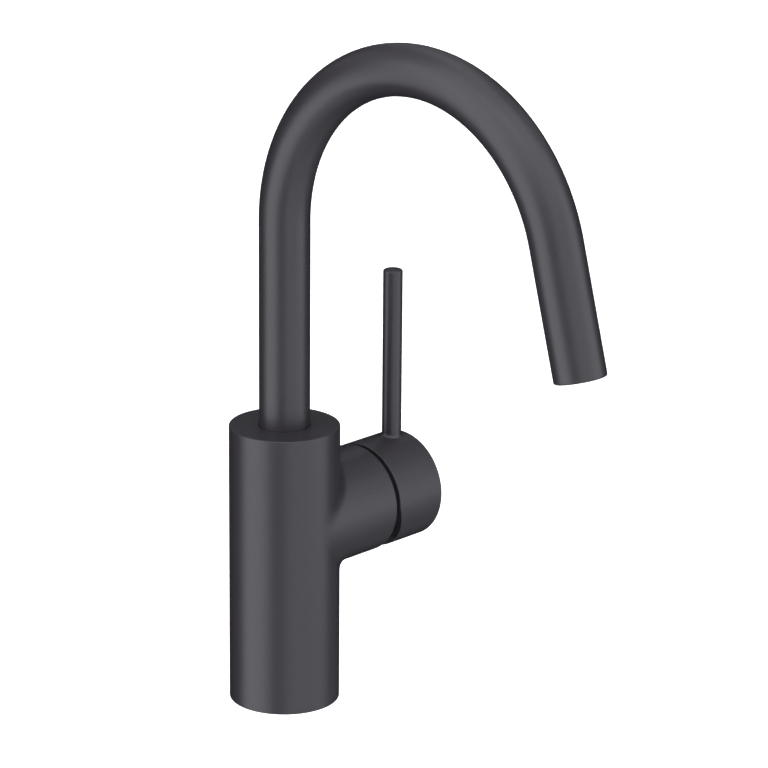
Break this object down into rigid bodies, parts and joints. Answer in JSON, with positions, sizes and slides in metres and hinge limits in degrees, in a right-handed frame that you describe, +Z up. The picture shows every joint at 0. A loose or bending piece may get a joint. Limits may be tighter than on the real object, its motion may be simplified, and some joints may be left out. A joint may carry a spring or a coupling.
{
  "type": "single-lever basin mixer",
  "caption": "Deck-standing single-lever basin mixer with an upright round body, a side branch whose cap carries a thin pin lever, and a tall swivelling arched tube spout.",
  "frame": {"origin": "centre of the body's foot, on the deck that it stands on and over the deck's hole", "axes": "+Z up along the body's axis, -Y along the spout towards the user, +X along the lever branch, to the user's right"},
  "size_m": [0.1027, 0.2085, 0.3163],
  "materials": {
    "coated_body": "matt dark grey powder coat on brass",
    "coated_spout": "matt dark grey powder coat on brass tube",
    "coated_handle": "matt dark grey powder coat on zinc",
    "coated_pin": "matt dark grey powder coat on steel",
    "brass": "turned",
    "stainless_steel": "turned",
    "alumina": "lapped ceramic",
    "white_acetal": "moulded",
    "grey_plastic": "moulded",
    "dark_plastic": "moulded",
    "red_plastic": "moulded",
    "black_rubber": "moulded"
  },
  "bodies": {
    "root": {"mixer_body": "coated_body", "base_seal": "black_rubber", "cartridge_base": "white_acetal", "port_seals": "black_rubber", "ceramic_disc_fixed": "alumina", "cartridge_housing": "white_acetal", "temperature_limit_ring": "red_plastic", "cartridge_nut": "brass", "dome_sleeve": "dark_plastic", "spout_retaining_screw": "stainless_steel"},
    "spout": {"spout_tube": "coated_spout", "spout_connector": "brass", "glide_ring_lower": "white_acetal", "glide_ring_upper": "white_acetal", "o_ring_lower": "black_rubber", "o_ring_upper": "black_rubber", "spout_end_bush": "brass", "aerator_housing": "dark_plastic", "aerator_seal": "black_rubber", "flow_regulator": "white_acetal", "jet_plate": "white_acetal", "outlet_grid": "dark_plastic"},
    "rotor": {"cartridge_rotor": "grey_plastic", "stem_pivot_pin": "stainless_steel"},
    "slider": {"disc_carrier": "grey_plastic", "ceramic_disc_moving": "alumina"},
    "lever": {"cartridge_stem": "stainless_steel", "handle_hub": "coated_handle", "lever_pin": "coated_pin", "handle_grub_screw": "stainless_steel", "screw_cover_plug": "dark_plastic"}
  },
  "joints": [
    {"name": "spout_swivel", "type": "hinge", "parent": "root", "child": "spout", "pos_m": [0, 0, 0.118], "axis": [0, 0, 1], "range_deg": [-60, 60]},
    {"name": "temperature_turn", "type": "hinge", "parent": "root", "child": "rotor", "pos_m": [0, 0, 0.0834], "axis": [1, 0, 0], "range_deg": [-50, 50]},
    {"name": "lever_tilt", "type": "hinge", "parent": "rotor", "child": "lever", "pos_m": [0.038, 0, 0.0834], "axis": [0, 1, 0], "range_deg": [0, 16]},
    {"name": "disc_slide", "type": "slide", "parent": "rotor", "child": "slider", "axis": [0, 0, 1], "range_m": [0, 0.0029]}
  ],
  "couplings": [
    {"joint": "disc_slide", "follows": "lever_tilt", "m_per_rad": 0.010364}
  ]
}
